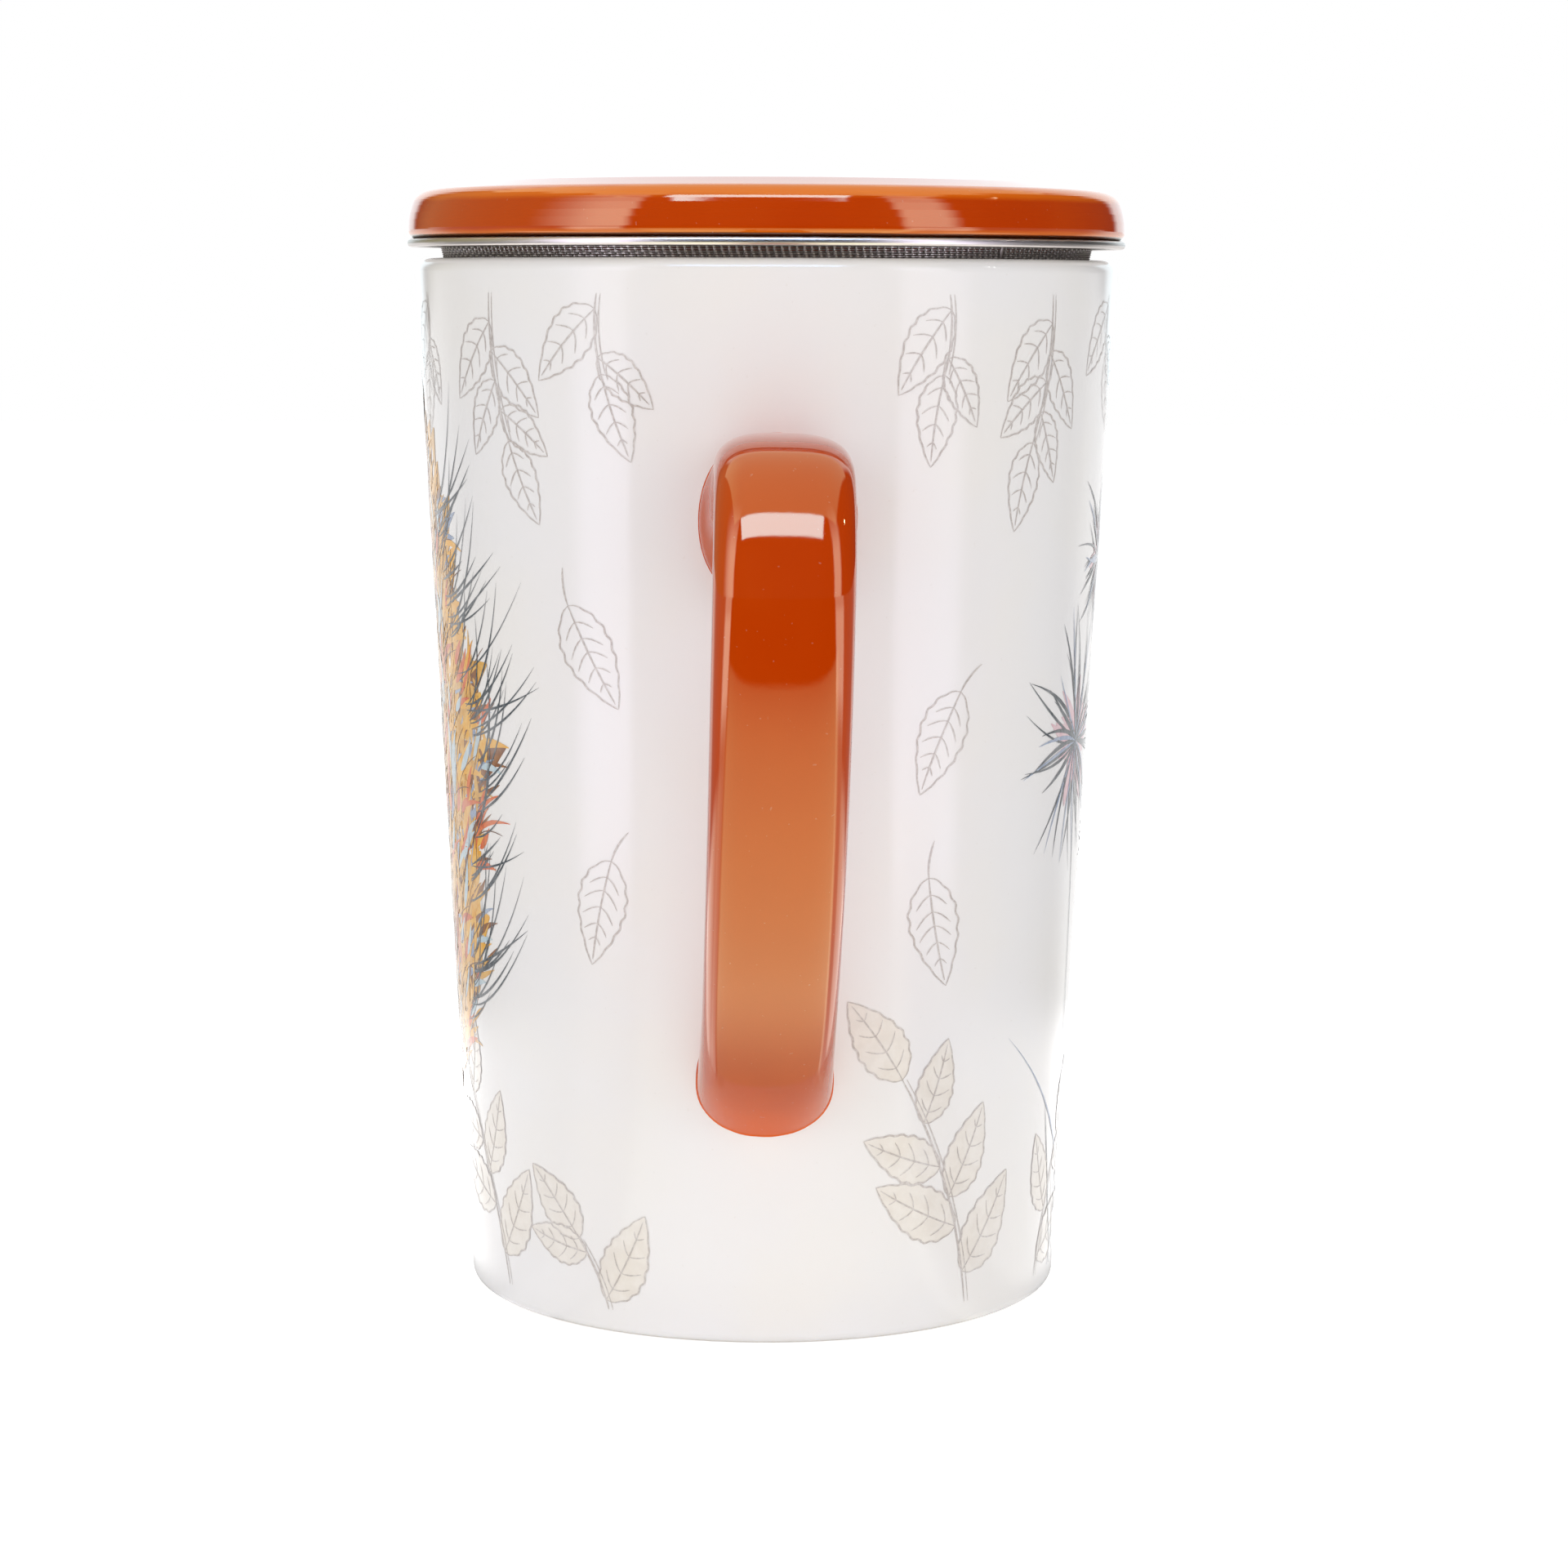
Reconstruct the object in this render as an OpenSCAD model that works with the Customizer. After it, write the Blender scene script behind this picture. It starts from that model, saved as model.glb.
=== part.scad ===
// Lidded tea mug with a lift-out infuser.
// The origin is the centre of the foot ring, on the table. +Z is up and the handle points along -Y.
// Heights are above the table unless a comment says otherwise.

/* [Mug] */
// Height of the mug from the table to its lip
mug_h = 128.4; // [110:0.2:140]
// Outer diameter of the mug at its lip
rim_d = 87; // [80:0.5:95]
// Outer diameter of the mug where it meets the table
base_d = 74; // [66:0.2:78]
// Wall thickness at the lip
wall_lip = 3.3; // [2.8:0.1:4.5]
// Wall thickness at the floor
wall_low = 4; // [3:0.1:5]
// Height of the floor's upper face above the table
floor_h = 6; // [5:0.5:9]
// Rounding between the floor and the inner wall
floor_round = 5; // [2:0.5:8]
// Rounding of the outer edge at the base
base_round = 1.3; // [0.5:0.1:3]
// Width of the foot ring
foot_w = 5; // [4:0.5:8]
// Depth of the hollow inside the foot ring
foot_recess = 1.8; // [1.7:0.1:2.2]

/* [Handle] */
// Height of the handle's upper face where it meets the wall
handle_top = 108.6; // [98:0.2:112]
// Height of the handle's lower end on the wall
handle_low = 26; // [18:0.2:32]
// Distance that the handle stands out from the wall at its upper root
handle_reach = 35.5; // [32:0.5:39]
// Drop from the handle's upper face to its outermost point
corner_drop = 16.6; // [15:0.2:18]
// Width of the strap
strap_w = 15.4; // [12:0.1:18]
// Thickness of the strap
strap_t = 9.6; // [8:0.1:10.5]
// Width of the strap at its upper root
top_root_w = 18.4; // [16:0.1:22]
// Depth of the upper root, top to bottom
top_root_t = 20; // [14:0.5:24]
// Width of the strap at its lower root
low_root_w = 16.6; // [14:0.1:20]
// Depth of the lower root, across the strap
low_root_t = 12.5; // [11:0.5:15]
// Reach of the flare at each root, out from the wall
root_flare = 18; // [12:0.5:20]
// Reach of the flare in width at the upper root, out from the wall
side_flare = 6; // [4:0.5:12]
// Sideways lean of the handle, in degrees
handle_lean = 1; // [0:0.1:3]

/* [Infuser] */
// Distance that the steel flange stands out from the basket
flange_reach = 4; // [3.5:0.1:6]
// Thickness of the folded flange
flange_t = 1; // [0.8:0.1:1.6]
// Gap between the mug's lip and the flange
flange_gap = 1.35; // [0.8:0.05:3]
// Depth of the basket below the flange
basket_depth = 90; // [60:1:95]
// Clearance between the basket's hem and the mug's inner wall
hem_clear = 0.7; // [0.5:0.1:4]
// Spread of the mesh below the flange, beyond its straight taper
basket_flare = 0.35; // [0.1:0.05:0.5]
// Thickness of the woven mesh
mesh_t = 0.7; // [0.5:0.05:0.9]
// Clearance between the basket and the mug's mouth
seat_clear = 0.3; // [0.2:0.05:0.5]
// Height of the folded hem around the basket's lower end
hem_h = 3; // [2:0.5:5]
// Thickness of the hem's sheet steel
hem_t = 0.5; // [0.4:0.05:0.6]
// Width of the seam where the mesh overlaps itself
seam_w = 4; // [3:0.5:6]
// Direction of the seam around the basket, in degrees from +X
seam_angle = -48; // [-180:1:180]

/* [Lid] */
// Distance that the lid's edge stands out past the flange
lid_overhang = 0.1; // [0:0.1:1]
// Height of the lid above the flange, at its centre
lid_h = 8.4; // [8:0.1:10]
// Rise of the lid's crown from its shoulder to its centre
crown_rise = 1.5; // [0.5:0.1:1.7]
// Width of the sloping shoulder around the crown
shoulder_w = 7; // [5:0.1:8]
// Drop of the shoulder from the crown to the rounded edge
shoulder_drop = 1.2; // [0.8:0.1:1.6]
// Rounding of the lid's upper edge
lid_round = 2.4; // [1.6:0.1:2.6]
// Rounding of the lid's lower edge
lid_foot_round = 1.2; // [0.6:0.1:1.3]
// Height above the flange of the middle of the bend where the lid's wall starts to lean in
lid_belly = 2.7; // [2.6:0.1:3.2]
// Thickness of the lid at its centre
lid_t = 4.8; // [3.8:0.1:5.5]
// Depth of the locating ring below the flange's upper face, so that it stays above the mug's lip
ring_depth = 2; // [1.4:0.1:2.1]
// Wall thickness of the locating ring
ring_t = 3.2; // [2.4:0.1:4]
// Clearance between the locating ring and the flange
ring_clear = 0.8; // [0.5:0.1:1.5]

/* [Hidden] */
$fn = 96;

porcelain = [0.93, 0.92, 0.91];
orange_glaze = [0.78, 0.3, 0.06];
steel = [0.75, 0.75, 0.76];
woven_steel = [0.48, 0.46, 0.45];

// Largest turn of one chord on a rounded corner, in degrees
arc_step = 7.5;
// Share of a wall's thickness that the rounding on each side of it takes
edge_share = 0.45;
// Distance that the handle's path starts and ends inside the outer face of the wall
top_bury = 4;
low_bury = 1.5;
// Rise of the top of the handle where its path is inside the wall, as a share of that length
top_climb = 0.065;
// Exponents of the section along the strap and at its roots: 2 is an ellipse, and more is squarer
strap_power = 3.1;
top_root_power = 2.2;
low_root_power = 2.1;
strap_sides = 28;
// Rings of the strap along its crest, its corner and its way down
strap_steps = [14, 18, 22];
// Control points of the crest and the corner, as distances back from the front face and heights above the
// upper face
crest = [[18.8, 1.1], [12.8, 0.35], [9.7, -0.8]];
corner_start = [4.1, -2.9];
// Control points further down, as shares of the corner's drop, the strap's drop and the handle's reach
corner_pull = 0.45;
front_pull = 0.36;
low_pull = [0.36, 0.28];
flare_steps = 6;
crown_steps = 12;
// Inward lean of the lid's edge, from its upright wall to its shoulder
edge_lean = 1;
// Half the length of the bend where the lid's wall starts to lean in
belly_band = 1.3;
// Shortening of the mesh floor at its edge, so that it drops into the basket
floor_play = 0.1;

rim_r = rim_d / 2;
base_r = base_d / 2;
mouth_r = rim_r - wall_lip;
lip_round = wall_lip * edge_share;
flange_z = mug_h + flange_gap;
lid_z = flange_z + flange_t;
basket_z = flange_z - basket_depth;
seat_z = mug_h - lip_round;
seat_r = mouth_r - seat_clear;

// Outer radius of the mug at height z
function mug_r(z) = base_r + (rim_r - base_r) * z / mug_h;
// Inner radius of the mug at height z
floor_r = mug_r(floor_h) - wall_low;
function inner_r(z) = floor_r + (mouth_r - floor_r) * (z - floor_h) / (mug_h - floor_h);
// Outer radius of the basket's straight taper at height z
basket_low_r = inner_r(basket_z) - hem_t - hem_clear;
function taper_r(z) = basket_low_r + (seat_r - basket_low_r) * (z - basket_z) / (seat_z - basket_z);
// Outer radius of the basket at height z, with its flare above the mug's mouth
function basket_r(z) = taper_r(z) + basket_flare * pow(max(0, z - seat_z) / (flange_z - seat_z), 2);

flange_in_r = basket_r(flange_z) - 2 * mesh_t;
flange_out_r = basket_r(flange_z) + flange_reach;
lid_r = flange_out_r + lid_overhang;
ring_r = flange_in_r - ring_clear;

// Points of an outline whose corners [x, y, radius] are rounded with arcs
function rounded(corners) = let (n = len(corners))
    [for (i = [0:n - 1]) each corner(corners[(i + n - 1) % n], corners[i], corners[(i + 1) % n])];
function flat(p) = [p.x, p.y];
function unit(v) = v / norm(v);
function corner(before, here, after) = let (
        a = unit(flat(before) - flat(here)),
        b = unit(flat(after) - flat(here)),
        half = acos(a * b) / 2,
        centre = flat(here) + unit(a + b) * here[2] / sin(half),
        turn = 180 - 2 * half,
        from = flat(here) + a * here[2] / tan(half) - centre,
        side = a.x * b.y - a.y * b.x > 0 ? -1 : 1,
        steps = ceil(turn / arc_step))
    here[2] == 0 ? [flat(here)] :
        [for (i = [0:steps]) let (t = side * turn * i / steps)
            centre + [from.x * cos(t) - from.y * sin(t), from.x * sin(t) + from.y * cos(t)]];

// Point and direction at u, from 0 to 1, on the curve with control points c
function bend_point(c, u) = pow(1 - u, 3) * c[0] + 3 * u * pow(1 - u, 2) * c[1]
    + 3 * u * u * (1 - u) * c[2] + pow(u, 3) * c[3];
function bend_way(c, u) = unit(pow(1 - u, 2) * (c[1] - c[0]) + 2 * u * (1 - u) * (c[2] - c[1])
    + u * u * (c[3] - c[2]));

module mug_outline() {
    foot_r = base_r - foot_w;
    foot_round = foot_recess * edge_share;
    polygon(rounded([
        [0, foot_recess, 0],
        [foot_r, foot_recess, foot_round],
        [foot_r, 0, foot_round],
        [base_r, 0, base_round],
        [rim_r, mug_h, lip_round],
        [mouth_r, mug_h, lip_round],
        [floor_r, floor_h, floor_round],
        [0, floor_h, 0]
    ]));
}

module mug_body() {
    color(porcelain) rotate_extrude() mug_outline();
}

// The handle's outer face in [distance from the axis, height]: the crest, the corner and the way down
front_r = mug_r(handle_top) + handle_reach;
front_z = handle_top - corner_drop;
drop = front_z - handle_low;
function over_top(p) = [front_r - p.x, handle_top + p.y];
crest_end = over_top(crest[2]);
crest_bend = [
    [mug_r(handle_top) - top_bury, handle_top - top_climb * top_bury],
    over_top(crest[0]),
    over_top(crest[1]),
    crest_end
];
corner_bend = [
    crest_end,
    over_top(corner_start),
    [front_r, front_z + corner_pull * (crest_end.y - front_z)],
    [front_r, front_z]
];
low_bend = [
    [front_r, front_z],
    [front_r, front_z - front_pull * drop],
    [front_r - low_pull.x * handle_reach, handle_low + low_pull.y * drop],
    [mug_r(handle_low) - low_bury, handle_low - low_bury]
];
// Width, thickness and exponent of the section along the strap and at each root, with the reach of the
// flare in width
along = [strap_w, strap_t, strap_power];
top_root = [top_root_w, top_root_t, top_root_power, side_flare];
low_root = [low_root_w, low_root_t, low_root_power, root_flare];

// How much of a flare is left at a point of the path: 1 at the wall and 0 past its reach
function flare_share(p, reach) = pow(min(1, max(0, 1 - (p.x - mug_r(p.y)) / reach)), 2);
// Width, thickness and exponent of the section at a point of the path
function section_at(p, root) = let (side = flare_share(p, root[3]), deep = flare_share(p, root_flare))
    [for (i = [0:2]) along[i] + (root[i] - along[i]) * (i == 1 ? deep : side)];
// A coordinate of the section at the sine or cosine s, on a superellipse of exponent power
function bulge(s, power) = sign(s) * pow(abs(s), 2 / power);
// One ring of the strap: its outer face is at p, and its path runs along way
function strap_ring(p, way, section) = let (inward = [way.y, -way.x])
    [for (i = [0:strap_sides - 1]) let (
            a = 360 * i / strap_sides,
            x = bulge(cos(a), section[2]) * section[0] / 2,
            q = p + inward * (1 - bulge(sin(a), section[2])) * section[1] / 2)
        [x, -q.x, q.y]];
function strap_part(bend, root, steps, from) =
    [for (i = [from:steps]) let (u = i / steps, p = bend_point(bend, u))
        strap_ring(p, bend_way(bend, u), section_at(p, root))];

module strap() {
    rings = concat(
        strap_part(crest_bend, top_root, strap_steps[0], 0),
        strap_part(corner_bend, top_root, strap_steps[1], 1),
        strap_part(low_bend, low_root, strap_steps[2], 1));
    last = len(rings) - 1;
    polyhedron(
        points = [for (ring = rings) each ring],
        faces = concat(
            [[for (i = [0:strap_sides - 1]) i]],
            [for (r = [0:last - 1], i = [0:strap_sides - 1]) let (j = (i + 1) % strap_sides)
                [(r + 1) * strap_sides + i, (r + 1) * strap_sides + j, r * strap_sides + j,
                 r * strap_sides + i]],
            [[for (i = [strap_sides - 1:-1:0]) last * strap_sides + i]]
        ));
}

module handle() {
    middle = (handle_top + handle_low) / 2;
    color(orange_glaze) difference() {
        translate([0, 0, middle]) rotate([0, handle_lean, 0]) translate([0, 0, -middle]) strap();
        cylinder(h = mug_h, r1 = base_r, r2 = rim_r);
    }
}

module infuser_rim() {
    edge = flange_t * edge_share;
    color(steel) rotate_extrude() polygon(rounded([
        [flange_in_r, flange_z, edge],
        [flange_out_r, flange_z, edge],
        [flange_out_r, lid_z, edge],
        [flange_in_r, lid_z, edge]
    ]));
}

// Outline of a sheet from inner to outer, measured inward from the basket's surface, from z up
module basket_sheet(outer, inner, low, high) {
    flare = [for (i = [0:flare_steps]) seat_z + (flange_z - seat_z) * i / flare_steps];
    heights = concat([low], [for (z = flare) if (z > low && z < high) z], [high]);
    polygon(concat(
        [for (z = heights) [basket_r(z) - outer, z]],
        [for (i = [len(heights) - 1:-1:0]) [basket_r(heights[i]) - inner, heights[i]]]
    ));
}

module infuser_wall() {
    color(woven_steel) rotate_extrude() basket_sheet(0, mesh_t, basket_z, flange_z);
}

module infuser_seam() {
    turn = seam_w / seat_r * 180 / PI;
    color(woven_steel) rotate([0, 0, seam_angle - turn / 2]) rotate_extrude(angle = turn)
        basket_sheet(mesh_t, 2 * mesh_t, basket_z + mesh_t, flange_z);
}

module infuser_floor() {
    color(woven_steel) translate([0, 0, basket_z])
        cylinder(h = mesh_t, r = basket_low_r - mesh_t - floor_play);
}

module infuser_hem() {
    lip_r = basket_low_r - 2 * mesh_t - hem_t;
    color(steel) rotate_extrude() polygon([
        [lip_r, basket_z - hem_t],
        [basket_low_r + hem_t, basket_z - hem_t],
        [basket_r(basket_z + hem_h) + hem_t, basket_z + hem_h],
        [basket_r(basket_z + hem_h), basket_z + hem_h],
        [basket_low_r, basket_z],
        [lip_r, basket_z]
    ]);
}

module lid() {
    top_z = lid_z + lid_h;
    crown_z = top_z - crown_rise;
    edge_z = crown_z - shoulder_drop;
    shoulder_r = lid_r - shoulder_w;
    // Radius of the bend in the wall, from its half length and its turn
    belly_round = belly_band / tan(atan(edge_lean / (edge_z - lid_z - lid_belly)) / 2);
    // Radius of the sphere that the crown is part of
    crown_r = (shoulder_r * shoulder_r + crown_rise * crown_rise) / (2 * crown_rise);
    crown = [for (i = [1:crown_steps]) let (r = shoulder_r * (1 - i / crown_steps))
        [r, top_z - crown_r + sqrt(crown_r * crown_r - r * r), 0]];
    ring_edge = ring_t * edge_share;
    color(orange_glaze) rotate_extrude() polygon(rounded(concat([
        [0, top_z - lid_t, 0],
        [ring_r - ring_t, top_z - lid_t, ring_edge],
        [ring_r - ring_t, lid_z - ring_depth, ring_edge],
        [ring_r, lid_z - ring_depth, ring_edge],
        [ring_r, lid_z, 0],
        [lid_r, lid_z, lid_foot_round],
        [lid_r, lid_z + lid_belly, belly_round],
        [lid_r - edge_lean, edge_z, lid_round],
        [shoulder_r, crown_z, shoulder_w]
    ], crown)));
}

mug_body();
handle();
infuser_rim();
infuser_wall();
infuser_seam();
infuser_floor();
infuser_hem();
lid();
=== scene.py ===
"""The looks of a lidded tea mug with a lift-out infuser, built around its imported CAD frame.

Shapes are worked out in millimetres in the frame's own axes (+Z up, the handle along -Y) and turned into
metres where a mesh is made. Places on the mug's wall are given as degrees from the handle, to the right
as one faces it, and a height above the table.
"""
import math
import random

import bpy
import numpy as np
from mathutils import Matrix, Vector


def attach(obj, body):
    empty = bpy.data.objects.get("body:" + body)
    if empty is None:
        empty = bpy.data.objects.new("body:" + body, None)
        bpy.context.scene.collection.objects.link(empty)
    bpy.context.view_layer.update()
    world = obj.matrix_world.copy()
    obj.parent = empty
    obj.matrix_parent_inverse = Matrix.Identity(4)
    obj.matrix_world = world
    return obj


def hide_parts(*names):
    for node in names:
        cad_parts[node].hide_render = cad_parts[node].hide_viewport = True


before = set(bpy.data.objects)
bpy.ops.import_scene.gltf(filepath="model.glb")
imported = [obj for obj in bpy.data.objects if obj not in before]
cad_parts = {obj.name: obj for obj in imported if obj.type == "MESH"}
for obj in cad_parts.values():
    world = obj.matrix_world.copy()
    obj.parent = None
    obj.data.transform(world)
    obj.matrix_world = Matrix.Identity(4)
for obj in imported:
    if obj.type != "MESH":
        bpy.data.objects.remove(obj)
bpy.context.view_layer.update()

MM = 0.001
WHITE = (1.0, 1.0, 1.0, 1.0)
BLACK = (0.0, 0.0, 0.0, 1.0)

# -------- camera

PHOTO_WIDTH = 1920  # pixels
FOCAL_PIXELS = 4718.3
SENSOR = 36.0  # mm
CAMERA_DISTANCE = 483.9  # mm from the mug's axis
CAMERA_HEIGHT = 125.46  # mm
CAMERA_TURN = 1.25  # degrees to the left of the handle
CAMERA_PITCH = 7.4  # degrees down
CAMERA_ROLL = 0.228  # degrees
AXIS_SHIFT = 24.14  # pixels that the mug's axis stands left of the middle


def make_camera():
    data = bpy.data.cameras.new("camera")
    data.sensor_width = SENSOR
    data.lens = FOCAL_PIXELS / PHOTO_WIDTH * SENSOR
    data.shift_x = AXIS_SHIFT / PHOTO_WIDTH
    turn, pitch, roll = (math.radians(a) for a in (CAMERA_TURN, CAMERA_PITCH, CAMERA_ROLL))
    forward = Vector((math.sin(turn) * math.cos(pitch), math.cos(turn) * math.cos(pitch), -math.sin(pitch)))
    right = forward.cross(Vector((0, 0, 1))).normalized()
    up = right.cross(forward)
    right, up = (right * math.cos(roll) + up * math.sin(roll),
                 up * math.cos(roll) - right * math.sin(roll))
    camera = bpy.data.objects.new("camera", data)
    place = Vector((-math.sin(turn) * CAMERA_DISTANCE, -math.cos(turn) * CAMERA_DISTANCE, CAMERA_HEIGHT)) * MM
    axes = Matrix((right, up, -forward)).transposed().to_4x4()
    camera.matrix_world = Matrix.Translation(place) @ axes
    bpy.context.scene.collection.objects.link(camera)
    bpy.context.scene.camera = camera


# -------- node helpers

def add(tree, kind, inputs=(), **settings):
    """A new node with its settings, whose inputs are linked to sockets or set to values."""
    node = tree.nodes.new(kind)
    for key, value in settings.items():
        setattr(node, key, value)
    for key, value in dict(inputs).items():
        if isinstance(value, bpy.types.NodeSocket):
            tree.links.new(value, node.inputs[key])
        else:
            node.inputs[key].default_value = value
    return node


def maths(tree, operation, *values):
    """The result socket of a Math node."""
    return add(tree, "ShaderNodeMath", enumerate(values), operation=operation).outputs[0]


def times(tree, first, second):
    """The product of two numbers or number sockets."""
    return maths(tree, "MULTIPLY", first, second)


def degrees(tree, operation, *values):
    """The angle that an operation gives, in degrees."""
    return times(tree, maths(tree, operation, *values), 180 / math.pi)


def ramp(tree, value, low, high, at_low=0.0, at_high=1.0, kind="SMOOTHSTEP"):
    """A step of value, from at_low at low to at_high at high."""
    inputs = {"Value": value, "From Min": low, "From Max": high, "To Min": at_low, "To Max": at_high}
    return add(tree, "ShaderNodeMapRange", inputs, interpolation_type=kind).outputs[0]


def within(tree, value, low, high, soft_low, soft_high):
    """1 where value is between low and high, with soft edges."""
    rise = ramp(tree, value, low - soft_low, low + soft_low)
    fall = ramp(tree, value, high - soft_high, high + soft_high, 1.0, 0.0)
    return times(tree, rise, fall)


def blend(tree, factor, first, second, kind="MIX"):
    """A colour made of two colours or colour sockets."""
    return add(tree, "ShaderNodeMix", {0: factor, 6: first, 7: second}, data_type="RGBA", blend_type=kind,
               clamp_factor=False).outputs[2]


def scaled(tree, amount, colour):
    """A colour times an amount."""
    return blend(tree, amount, BLACK, colour)


def summed(tree, first, second):
    """Two colours of light together."""
    return blend(tree, 1.0, first, second, "ADD")


def axes_of(tree, vector):
    """The x, y and z sockets of a vector."""
    return add(tree, "ShaderNodeSeparateXYZ", {0: vector}).outputs


def place_axes(tree, kind="Object"):
    """The x, y and z sockets of a texture coordinate."""
    return axes_of(tree, tree.nodes.new("ShaderNodeTexCoord").outputs[kind])


def off_axis(tree, axes):
    """Distance from the mug's axis at a place, in metres."""
    squares = [maths(tree, "POWER", axis, 2.0) for axis in axes[:2]]
    return maths(tree, "SQRT", maths(tree, "ADD", *squares))


def noise(tree, coordinates, size, detail=2.0, roughness=0.5):
    """A noise from 0 to 1 whose features are about size millimetres."""
    inputs = {"Vector": coordinates, "Scale": 1 / (size * MM), "Detail": detail, "Roughness": roughness}
    return add(tree, "ShaderNodeTexNoise", inputs).outputs["Fac"]


def linear(*srgb):
    """A colour written as 0 to 255 in sRGB, as linear values for a shader."""
    shares = [c / 255 for c in srgb]
    return (*(c / 12.92 if c <= 0.04045 else ((c + 0.055) / 1.055) ** 2.4 for c in shares), 1.0)


def add_up(tree, output, first, second):
    """Ends a node tree with the sum of two shaders."""
    both = add(tree, "ShaderNodeAddShader", {0: first.outputs[0], 1: second.outputs[0]})
    tree.links.new(both.outputs[0], tree.nodes.new(output).inputs[0])


def new_material(name):
    """A material with its node tree, its Principled shader and the object's own coordinates."""
    material = bpy.data.materials.new(name)
    material.use_nodes = True
    tree = material.node_tree
    shader = tree.nodes["Principled BSDF"]
    coordinates = tree.nodes.new("ShaderNodeTexCoord").outputs["Object"]
    return material, tree, shader, coordinates


def bump(tree, shader, *layers):
    """Gives the shader a surface of several heights, each a socket from 0 to 1 and its depth in mm."""
    below = {}
    for height, depth in layers:
        inputs = {"Height": height, "Distance": depth * MM, "Strength": 1.0, **below}
        below = {"Normal": add(tree, "ShaderNodeBump", inputs).outputs[0]}
    tree.links.new(below["Normal"], shader.inputs["Normal"])


# -------- materials

PORCELAIN = linear(232, 230, 230)
PORCELAIN_IOR = 1.34
PORCELAIN_ROUGH = (0.09, 0.13)
# Glazes: both colours, IOR, what the glaze leaves of the light that it mirrors, and range of roughness.
PORCELAIN_GLAZE = (PORCELAIN, linear(233, 230, 227), PORCELAIN_IOR, WHITE, PORCELAIN_ROUGH)
ORANGE_GLAZE = (linear(181, 55, 0), linear(185, 61, 3), 1.65, (1.0, 1.0, 0.56, 1.0), (0.035, 0.06))
# Lighter orange where the glaze runs thin over the lid's edges, and also painted light: the top light on the
# shoulder and a painted reflection of the steel at the lower edge.
ORANGE_THIN_AND_LIT = linear(212, 98, 12)
ROOT_BOUNCE_ORANGE = linear(222, 86, 0)  # painted light: lighter orange over the handle's lower root, for light bounced up from the table
LID_GAP_SHADE = linear(74, 26, 4)  # painted shade: a dark line at the glaze's lower edge, for the shadowed gap where the lid sits on the steel
BISCUIT = linear(205, 196, 184)
THIN_SPECULAR, FULL_SPECULAR = 0.08, 0.5  # how much it mirrors where it runs thin, and elsewhere
THIN_FADE = 8  # mm on either side of the height where it turns thin
BARE_FADE = 0.15  # mm on either side of the glaze's lower edge on a foot
CLOUD_SIZE, SPECK_SIZE, GLOSS_SIZE = 22, 0.55, 9  # mm
RIPPLE_SIZE, RIPPLE_DEPTH = 7, 0.012  # mm, slow waves in the glaze
PEEL_SIZE, PEEL_DEPTH = 0.9, 0.0022  # mm, its orange peel
WASH_SIZE = 6  # mm, patches where the ink is thin
RING_SIZE, DRAWN_SIZE, GRAIN_DEPTH = 0.12, 0.25, 0.0015  # mm, turned rings and grain of drawn wire
POLISHED_STEEL = (0.62, 0.57, 0.54, 1.0)
# nearly white, so that it is also the painted highlight at the wires' crossings
WIRE_STEEL = (0.95, 0.91, 0.87, 1.0)
WELD_STEEL = (0.26, 0.23, 0.21, 1.0)
# painted shade on the wires between their crossings
CROSSING_SHADE = (0.34, 0.31, 0.29, 1.0)
CROSSING_SLANT = 1.9  # radians of a crossing's turn for each millimetre up


def gloss(tree, place, rough_range):
    """A roughness that drifts over the glaze."""
    return ramp(tree, noise(tree, place, GLOSS_SIZE, 3), 0.3, 0.7, *rough_range)


def glazed(name, colour, second, ior, sheen, rough_range, bare_below=None, edges=(), thin_below=None):
    """Glossy glaze over porcelain, a little uneven in colour and level.

    There is none below the height bare_below, and it mirrors less below thin_below. It has another colour in
    bands round the edges, each given as that colour, its lowest and highest point and how softly it starts
    and ends. All heights are in mm.
    """
    material, tree, shader, place = new_material(name)
    height = axes_of(tree, place)[2]
    cloud = ramp(tree, noise(tree, place, CLOUD_SIZE, 3), 0.35, 0.7)
    speck = ramp(tree, noise(tree, place, SPECK_SIZE, 1), 0.74, 0.8)
    body = blend(tree, cloud, colour, second)
    # Bands of another colour; on the lid and handle they hold painted light and painted shade.
    for other, low, high, soft in edges:
        uneven = maths(tree, "SUBTRACT", noise(tree, place, GLOSS_SIZE, 1), 0.5)
        wander = times(tree, uneven, soft * MM)
        band = within(tree, maths(tree, "ADD", height, wander), low * MM, high * MM, soft * MM, soft * MM)
        body = blend(tree, band, body, other)
    body = blend(tree, times(tree, speck, 0.12), body, BISCUIT)
    rough = gloss(tree, place, rough_range)
    ripple = noise(tree, place, RIPPLE_SIZE, 1)
    peel = noise(tree, place, PEEL_SIZE, 2)
    if bare_below is not None:
        bare = ramp(tree, height, (bare_below + BARE_FADE) * MM, (bare_below - BARE_FADE) * MM)
        grain = noise(tree, place, 0.3, 4, 0.7)
        biscuit = blend(tree, grain, BISCUIT, PORCELAIN)
        body = blend(tree, bare, body, biscuit)
        rough = maths(tree, "MAXIMUM", rough, times(tree, bare, 0.75))
        peel = maths(tree, "ADD", peel, times(tree, times(tree, bare, grain), 8))
    tree.links.new(body, shader.inputs["Base Color"])
    tree.links.new(rough, shader.inputs["Roughness"])
    shader.inputs["IOR"].default_value = ior
    shader.inputs["Specular Tint"].default_value = sheen
    if thin_below is not None:
        mirrors = ramp(tree, height, (thin_below - THIN_FADE) * MM, (thin_below + THIN_FADE) * MM,
                       THIN_SPECULAR, FULL_SPECULAR)
        tree.links.new(mirrors, shader.inputs["Specular IOR Level"])
    bump(tree, shader, (ripple, RIPPLE_DEPTH), (peel, PEEL_DEPTH))
    return material


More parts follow.
